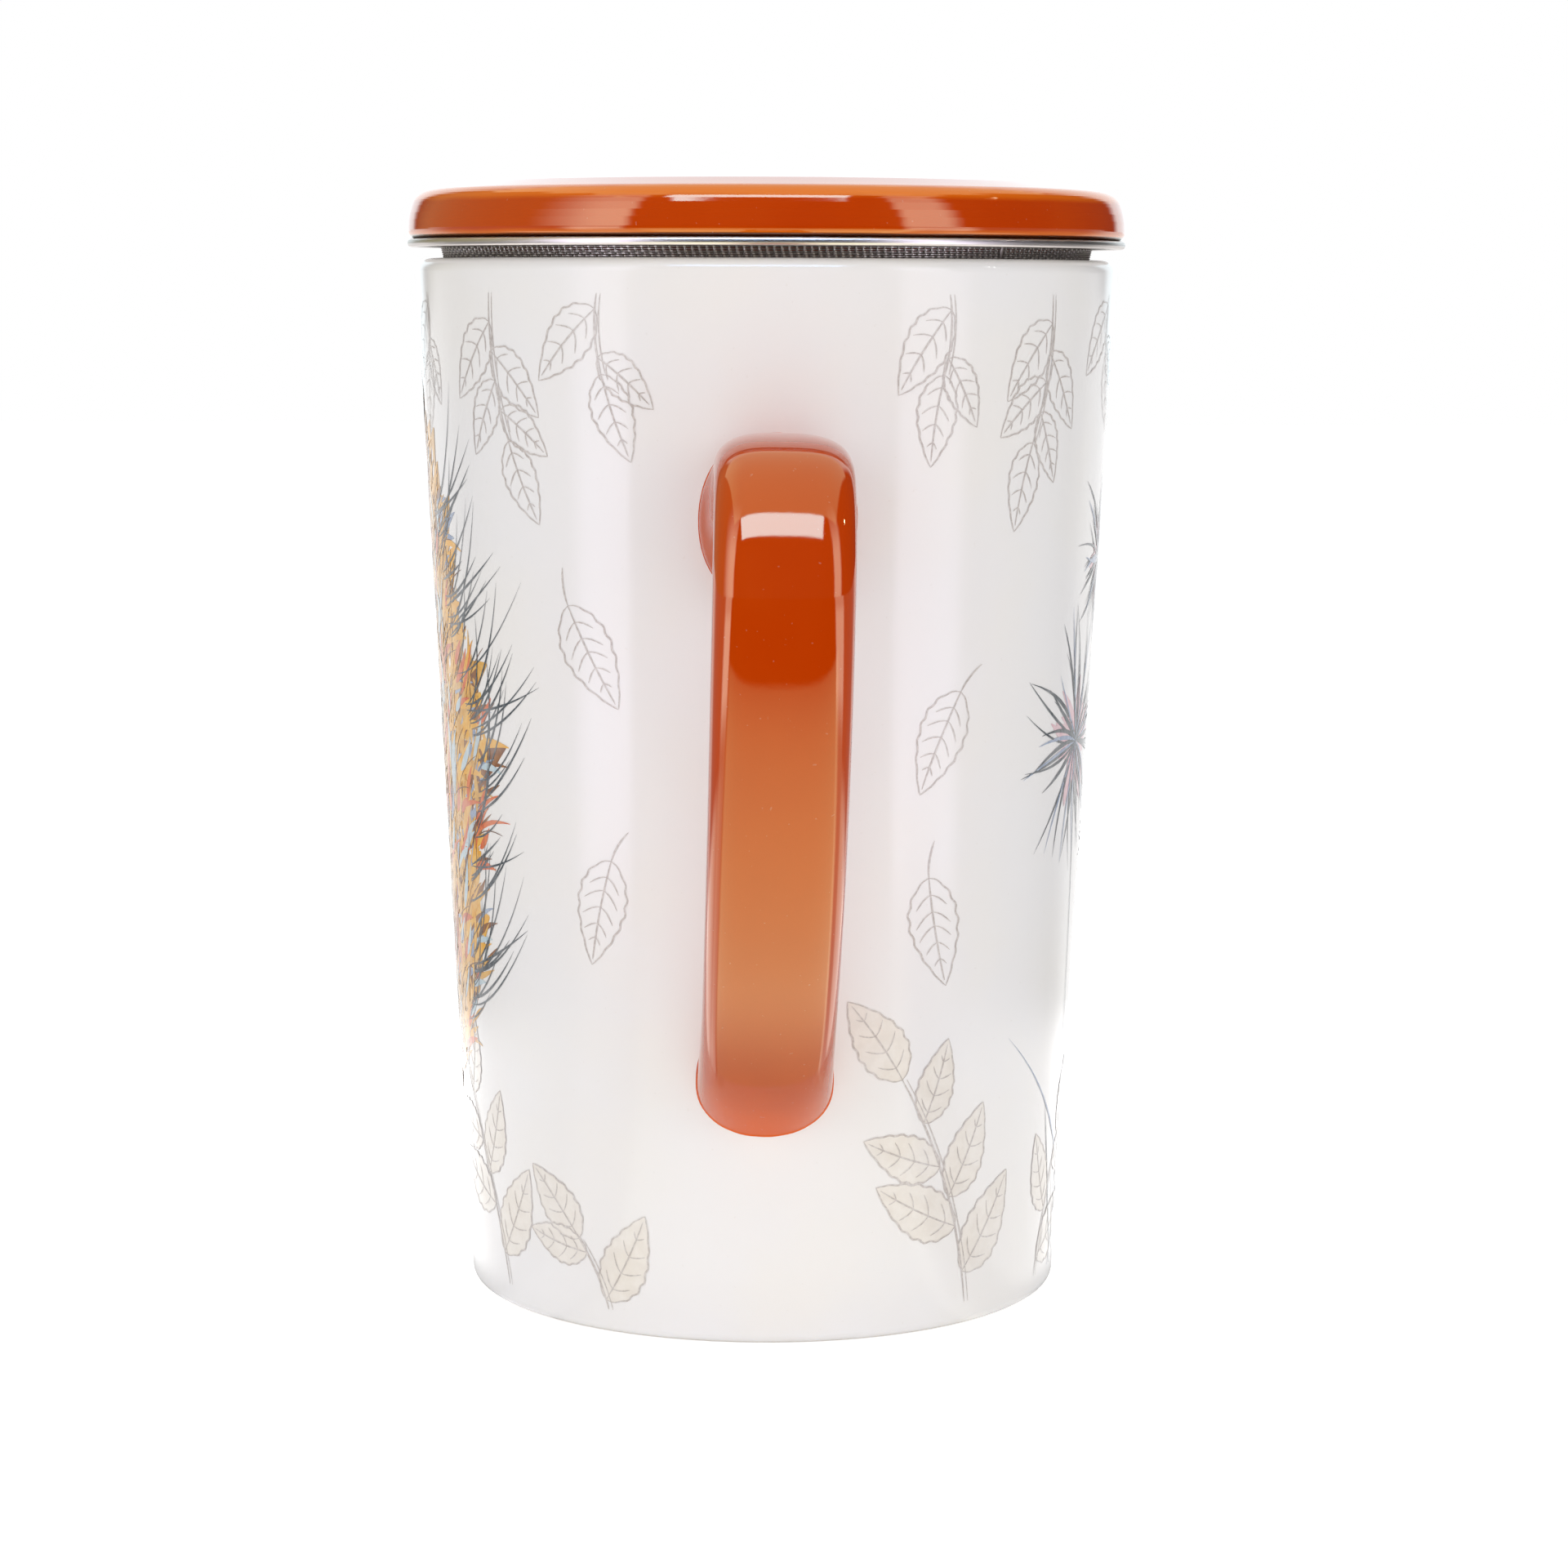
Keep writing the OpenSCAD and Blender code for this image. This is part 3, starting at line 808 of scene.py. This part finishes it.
def autumn_bush(art, turn, rng):
    """A tall bush of fine feathery leaves in autumn colours, with dark grasses that curl out of its edge."""
    for x in np.linspace(-1, 1, BUSH_STEMS):
        stem = curve_path(180 - 9 * x + rng.uniform(-5, 5), rng.uniform(24, 34), 0.08 * x, 20, (1.6 * x, 0))
        art.feather("umber", (turn, GROUND), stem, rng.uniform(0.5, 0.9))
    for height in np.arange(BUSH_LOW, BUSH_LOW + BUSH_TALL, 3.0):
        for x in np.arange(-0.85, 0.86, 0.17) * bush_edge(height):
            tilt = 180 - 40 * x / BUSH_HALF + rng.uniform(-20, 20)
            path = curve_path(tilt, rng.uniform(7, 10), rng.uniform(-0.2, 0.2), 8, (x, 0))
            art.feather(rng.choice(("amber", "ochre", "amber", "umber")), (turn, height), path, 4.4)
    for number, (colour, count) in enumerate(STROKES.items()):
        for _ in range(count):
            height = rng.uniform(24, 108)
            x = rng.uniform(-1, 1) * bush_edge(height)
            tilt = 180 - 45 * x / BUSH_HALF + rng.uniform(-38, 38)
            path = curve_path(tilt, rng.uniform(3, 7.5), rng.uniform(-0.5, 0.5), 8, (x, 0))
            art.feather(colour, (turn, height), path, rng.uniform(0.5, 1.3),
                        FILL_LIFT + PASS_LIFT * (number + 1))
    for _ in range(BUSH_LINES):
        height = rng.uniform(26, 108)
        x = rng.uniform(-1, 1) * bush_edge(height)
        path = curve_path(180 - 45 * x / BUSH_HALF + rng.uniform(-30, 30), rng.uniform(3, 8),
                          rng.uniform(-0.6, 0.6), 10, (x, 0))
        art.line("umber_line", (turn, height), path, HAIR_W * 0.8)
    for _ in range(BUSH_CURLS):
        side = rng.choice((-1, 1))
        height = rng.uniform(34, 98)
        path = curve_path(180 - side * rng.uniform(48, 96), rng.uniform(6, 17),
                          side * rng.uniform(0.15, 0.8), 14, (side * (bush_edge(height) - 2), 0))
        art.feather("ink", (turn, height), path, rng.uniform(0.2, 0.34), LINE_LIFT)


# Twigs that hang from the top, on both sides: turn, drop, lean, leaves and their size.
HANGING = ((28, 9, 12, 2, 12.5), (50, 17, 6, 4, 12.5), (73, 7, -10, 2, 12), (94, 15, 8, 4, 12),
           (118, 8, -8, 2, 12.5), (140, 17, 6, 4, 12.5), (163, 8, -10, 2, 12))
# Loose leaves: turn, height, tilt and length.
FALLING = ((-35, 88, 24, 13.5), (-28, 58, -18, 13), (33, 78, -28, 13), (28, 56, 8, 13.5), (140, 84, 20, 13),
           (160, 66, -24, 13.5), (185, 82, 10, 13), (172, 50, 30, 13.5), (205, 64, -14, 13),
           (150, 44, -8, 13), (218, 84, 26, 13))
# Plants on the ground: turn, height, lean, leaves and their size.
GROWING = ((-31, 9, 14, 2, 13), (-58, 30, 12, 5, 14), (40, 30, 8, 5, 14.5), (64, 18, -10, 3, 13.5),
           (146, 22, 14, 4, 13), (178, 32, -10, 6, 14), (214, 20, 16, 4, 13), (-128, 18, -14, 4, 13),
           (128, 16, 14, 3, 13))
# Flowers gone to seed: turn, height and radius.
SEED_HEADS = ((69, 70, 16), (80, 92, 12), (96, 56, 12), (110, 84, 11), (122, 50, 8))
BUSH_TURN = -95
GRASSES, GRASS_TURNS = 60, (72, 122)


def decorate(art):
    """The whole print: nothing near the handle, and the same kinds of plant all round."""
    rng = random.Random(11)
    for side in (-1, 1):
        for turn, drop, lean, leaves, size in HANGING:
            hanging_sprig(art, side * turn, drop, side * lean, leaves, size)
    hanging_sprig(art, 183, 17, 5, 4, 12)
    for motif in FALLING:
        falling_leaf(art, *motif)
    for motif in GROWING:
        ground_sprig(art, *motif)
    autumn_bush(art, BUSH_TURN, rng)
    for motif in SEED_HEADS:
        seed_head(art, *motif, rng)
    for _ in range(GRASSES):
        turn = rng.uniform(*GRASS_TURNS)
        path = curve_path(180 + rng.uniform(-26, 26), rng.uniform(14, 42),
                          rng.uniform(-0.35, 0.35), 20)
        art.feather(rng.choice(("pencil", "ink", "slate")), (turn, GROUND), path, HAIR_W * 2, LINE_LIFT)


# Inks: the name of the material, its colour where thick and where thin, and its grain in mm.
INKS = {
    "pencil": ("pencil", (182, 173, 168), (207, 200, 196), 0.5),
    "wash": ("beige_wash", (224, 217, 208), (230, 224, 216), 2.0),
    "ink": ("ink_line", (66, 72, 78), (104, 110, 114), 0.5),
    "umber_line": ("umber_line", (96, 60, 42), (128, 86, 58), 0.5),
    "slate": ("slate_print", (134, 148, 176), (166, 178, 196), 1.2),
    "umber": ("umber_print", (122, 78, 52), (152, 104, 62), 1.2),
    "ochre": ("ochre_print", (206, 154, 72), (222, 178, 104), 1.2),
    "amber": ("amber_print", (226, 164, 52), (232, 184, 92), 1.2),
    "rust": ("rust_print", (206, 96, 52), (218, 124, 74), 1.2),
    "sky": ("sky_print", (176, 196, 206), (198, 210, 212), 1.2),
    "blossom": ("blossom_print", (216, 178, 186), (224, 196, 200), 1.2),
}


def make_print():
    inks = {ink: printed(name, linear(*thick), linear(*thin), grain)
            for ink, (name, thick, thin, grain) in INKS.items()}
    art = Print()
    decorate(art)
    art.build(inks)


# -------- studio

TABLE_SIZE = 3000  # mm from the middle to each side
FLOOR_WHITE = (0.5, 0.8)  # added to the table's own light where the camera sees it, near and far
FLOOR_FADE = (150, 600)  # mm from the axis, where near turns to far
TABLE_WHITE = (0.9, 0.9, 0.9, 1.0)
TABLE_GLOW = 0.12  # radiance that the table near the mug adds to what lights the mug
DAYLIGHT = 0.32  # even light from all round
ROOM = 0.05  # radiance of the unlit room, as the glaze mirrors it

COOL = (1.0, 0.97, 1.18, 1.0)
WARM = (1.0, 0.92, 0.45, 1.0)
STRAW = (1.0, 1.0, 0.76, 1.0)

# Light panels that only mirror in the glaze and steel: ranges in degrees and a radiance. turn runs around the
# mug from the handle to the right, height is above the horizon, pitch runs from the front over the top to
# the back, and across is to the right of that arc. soft says over how many degrees a range's two ends fade,
# unless the range gives its own two after its ends.
PANELS = (
    {"turn": (-68, -45), "height": (-50, 40, 2, 20), "soft": (15, 2), "glow": 4.0, "colour": COOL},
    {"turn": (42, 60), "height": (-50, 40, 2, 20), "soft": (2, 4), "glow": 3.5, "colour": COOL},
    {"turn": (-145, -74), "height": (-60, 60), "soft": (12, 12), "glow": 0.4, "colour": WARM},
    {"pitch": (40, 57), "across": (-27, 21), "soft": (1, 1), "glow": 8.8,
     "colour": (0.66, 1.04, 1.76, 1.0)},
    {"pitch": (57, 131), "across": (-40, 40), "soft": (1, 2), "glow": 1.3, "colour": STRAW},
    {"pitch": (131, 260), "across": (-27, 34), "soft": (4, 4), "glow": 1.5,
     "colour": (0.92, 1.03, 1.08, 1.0)},
    {"turn": (82.8, 85.0), "height": (30.6, 32.4), "soft": (0.3, 0.3), "glow": 60.0},
)

# The table top as the glaze mirrors it. In front of the mug it ends at an edge in the dark.
AHEAD = (-44, 47)  # degrees either side of the handle where that is so
AHEAD_FADE = 5.0
EDGE = (-304, -272)  # mm, where the front edge fades in
EDGE_GLOW = 0.75
LIT = (-290, -66)  # mm, from the edge to the brightest place
LIT_GLOW = 1.9
# To each side of that it mirrors the foot of a light panel, and past that the room. radius is in mm.
LEFT_FOOT = {"turn": (-65, -46), "soft": (5, 2)}
RIGHT_FOOT = {"turn": (42, 66), "soft": (2, 4)}
BESIDE = (
    {**LEFT_FOOT, "radius": (250, 900, 60, 200), "glow": 1.4, "colour": COOL},
    {**RIGHT_FOOT, "radius": (250, 900, 60, 200), "glow": 1.2, "colour": COOL},
    {**LEFT_FOOT, "radius": (250, 4500, 60, 1), "glow": 2.8, "colour": COOL},
    {**RIGHT_FOOT, "radius": (250, 4500, 60, 1), "glow": 2.4, "colour": COOL},
    {**LEFT_FOOT, "radius": (20, 250, 1, 60), "glow": 1.2},
    {**RIGHT_FOOT, "radius": (20, 250, 1, 60), "glow": 1.0},
    {"turn": (-180, -65), "soft": (1, 5), "glow": 0.4},
    {"turn": (66, 180), "soft": (4, 1), "glow": 0.35},
    {"turn": (-180, -65), "radius": (40, 170), "soft": (5, 30), "glow": 1.9},
    {"turn": (66, 180), "radius": (40, 170), "soft": (5, 30), "glow": 1.7},
    {"turn": (-180, -128), "soft": (1, 12), "glow": 0.9},
    {"turn": (128, 180), "soft": (12, 1), "glow": 0.9},
)
FOOT_SHADE = (35, 66)  # mm from the axis, where the mug's own shadow ends
FOOT_DARK = 0.3  # how much of the light is left in it

LAMP_SIZE = 700  # mm
LAMPS = (  # place in mm, power in watts and whether it casts a shadow
    ("lamp_left", (-850, -600, 430), 3.65, True),
    ("lamp_right", (850, -650, 430), 3.5, True),
    ("lamp_front", (0, -900, 300), 2.05, False),
    ("lamp_above", (0, 0, 1000), 2.6, True),
    ("lamp_back", (0, 900, 350), 2.0, False),
)


def lit_by(tree, panels, places, colour):
    """A colour, with the light that each panel adds at these places."""
    for panel in panels:
        light = panel["glow"]
        for name, socket in places.items():
            if name in panel:
                low, high, *soft = panel[name]
                share = within(tree, socket, low, high, *(soft or panel["soft"]))
                light = times(tree, share, light)
        colour = summed(tree, colour, scaled(tree, light, panel.get("colour", WHITE)))
    return colour


def make_world():
    """White for the camera, even light for dull surfaces, and panels for what mirrors."""
    world = bpy.data.worlds.new("studio")
    bpy.context.scene.world = world
    world.use_nodes = True
    tree = world.node_tree
    tree.nodes.clear()
    way = place_axes(tree, "Generated")
    front = times(tree, way[1], -1.0)
    angles = {
        "turn": degrees(tree, "ARCTAN2", way[0], front),
        "height": degrees(tree, "ARCSINE", way[2]),
        "across": degrees(tree, "ARCSINE", way[0]),
        "pitch": maths(tree, "WRAP", degrees(tree, "ARCTAN2", way[2], front), 270.0, -90.0),
    }
    mirrored = lit_by(tree, PANELS, angles, (ROOM, ROOM, ROOM, 1.0))
    rays = tree.nodes.new("ShaderNodeLightPath").outputs
    seen = maths(tree, "MAXIMUM", rays["Is Camera Ray"], rays["Is Transmission Ray"])
    plain = maths(tree, "ADD", times(tree, rays["Is Diffuse Ray"], DAYLIGHT), seen)
    add_up(tree, "ShaderNodeOutputWorld",
           add(tree, "ShaderNodeBackground", {"Color": mirrored, "Strength": rays["Is Glossy Ray"]}),
           add(tree, "ShaderNodeBackground", {"Color": WHITE, "Strength": plain}))


def table_mirrored(tree, place, radius):
    """The table's light where it mirrors in the glaze and steel."""
    front = times(tree, place[1], -1.0)
    turn = degrees(tree, "ARCTAN2", place[0], front)
    edge = ramp(tree, place[1], EDGE[0] * MM, EDGE[1] * MM, 0.0, EDGE_GLOW)
    rise = ramp(tree, place[1], LIT[0] * MM, LIT[1] * MM, 0.0, LIT_GLOW, "LINEAR")
    ahead = maths(tree, "ADD", edge, rise)
    glow = times(tree, within(tree, turn, *AHEAD, AHEAD_FADE, AHEAD_FADE), ahead)
    shade = ramp(tree, radius, FOOT_SHADE[0] * MM, FOOT_SHADE[1] * MM, FOOT_DARK, 1.0)
    glow = times(tree, glow, shade)
    places = {"turn": turn, "radius": times(tree, radius, 1 / MM)}
    return lit_by(tree, BESIDE, places, scaled(tree, glow, STRAW))


def make_table():
    """A pale table top that keeps the mug's shadow and is white to the camera."""
    material = bpy.data.materials.new("table")
    material.use_nodes = True
    tree = material.node_tree
    tree.nodes.clear()
    rays = tree.nodes.new("ShaderNodeLightPath").outputs
    place = place_axes(tree)
    radius = off_axis(tree, place)
    white = ramp(tree, radius, FLOOR_FADE[0] * MM, FLOOR_FADE[1] * MM, *FLOOR_WHITE)
    near = ramp(tree, radius, FLOOR_FADE[0] * MM, FLOOR_FADE[1] * MM, TABLE_GLOW, 0.0)
    glow = maths(tree, "ADD", times(tree, rays["Is Camera Ray"], white),
                 times(tree, rays["Is Diffuse Ray"], near))
    mirrored = scaled(tree, rays["Is Glossy Ray"], table_mirrored(tree, place, radius))
    plain = maths(tree, "SUBTRACT", 1.0, rays["Is Glossy Ray"])
    diffuse = add(tree, "ShaderNodeBsdfDiffuse", {"Color": scaled(tree, plain, TABLE_WHITE)})
    light = summed(tree, mirrored, scaled(tree, glow, WHITE))
    emission = add(tree, "ShaderNodeEmission", {"Color": light, "Strength": 1.0})
    add_up(tree, "ShaderNodeOutputMaterial", diffuse, emission)
    mesh = bpy.data.meshes.new("table")
    size = TABLE_SIZE * MM
    corners = [(-size, -size, 0), (size, -size, 0), (size, size, 0), (-size, size, 0)]
    mesh.from_pydata(corners, [], [(0, 1, 2, 3)])
    mesh.materials.append(material)
    table = bpy.data.objects.new("table", mesh)
    bpy.context.scene.collection.objects.link(table)


def make_lamp(name, place, power, shadow):
    """A soft square lamp, aimed at the middle of the mug, that the glaze doesn't mirror."""
    data = bpy.data.lights.new(name, "AREA")
    data.size = LAMP_SIZE * MM
    data.energy = power
    data.use_shadow = shadow
    light = bpy.data.objects.new(name, data)
    light.location = Vector(place) * MM
    aim = Vector((0, 0, MUG_HEIGHT / 2)) * MM - light.location
    light.rotation_euler = aim.to_track_quat("-Z", "Y").to_euler()
    light.visible_glossy = False
    bpy.context.scene.collection.objects.link(light)


# -------- everything

BARE_FOOT = 0.3  # mm of foot without glaze
# Bands on the lid: colour, lowest and highest point from an edge, and softness, in mm. The lighter bands are
# thin glaze and painted light, and the dark foot line is painted shade.
SHOULDER_BANDS = ((ORANGE_THIN_AND_LIT, -1.3, 0.2, 0.4),)
UNDER_BANDS = ((ORANGE_THIN_AND_LIT, -1, 0.8, 0.3), (LID_GAP_SHADE, -0.1, 0.42, 0.12))
ROOT_BOUNCE_BAND = (ROOT_BOUNCE_ORANGE, -20, HANDLE_LOW + 4, 7)  # on the handle, heights from the table: painted bounce light on the lower root


def lid_glaze():
    """Orange glaze with lighter bands at the lid's shoulder and lower edge, partly painted light, and a
    painted shade line where it lies on the infuser.
    """
    points = node_points("lid")
    radii = np.hypot(points[:, 0], points[:, 1])
    under = node_points("infuser_rim")[:, 2].max()
    shoulder = points[radii > 0.95 * radii.max(), 2].max()
    edges = [(colour, edge + low, edge + high, soft)
             for edge, bands in ((shoulder, SHOULDER_BANDS), (under, UNDER_BANDS))
             for colour, low, high, soft in bands]
    return glazed("lid_glaze", *ORANGE_GLAZE, points[:, 2].min() + BARE_FOOT, edges)


def finish_cad_nodes():
    """Materials for the CAD nodes that are shown as they are."""
    polished = steel("polished_steel", POLISHED_STEEL, 0.34)
    for node, material, slot in (
            ("mug_body", glazed("porcelain_glaze", *PORCELAIN_GLAZE, BARE_FOOT), "porcelain"),
            ("lid", lid_glaze(), "orange_glaze"),
            ("infuser_rim", polished, "polished_steel"),
            ("infuser_hem", polished, "polished_steel")):
        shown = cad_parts[node]
        for holder in shown.material_slots:
            holder.material = material
        if not shown.material_slots:
            shown.data.materials.append(material)


bpy.context.scene.view_settings.view_transform = "Standard"
make_camera()
make_world()
make_table()
for lamp_facts in LAMPS:
    make_lamp(*lamp_facts)
wire_steel = steel("wire_steel", WIRE_STEEL, 0.36, 0.84, turned=False, crossings=WARPS)
weld_steel = steel("weld_steel", WELD_STEEL, 0.4, 0.9, turned=False)
finish_cad_nodes()
make_handle(glazed("handle_glaze", *ORANGE_GLAZE, edges=(ROOT_BOUNCE_BAND,), thin_below=HANDLE_LOW + 2))
make_basket_wall(wire_steel)
make_seam(wire_steel, weld_steel)
make_basket_floor(wire_steel)
make_print()
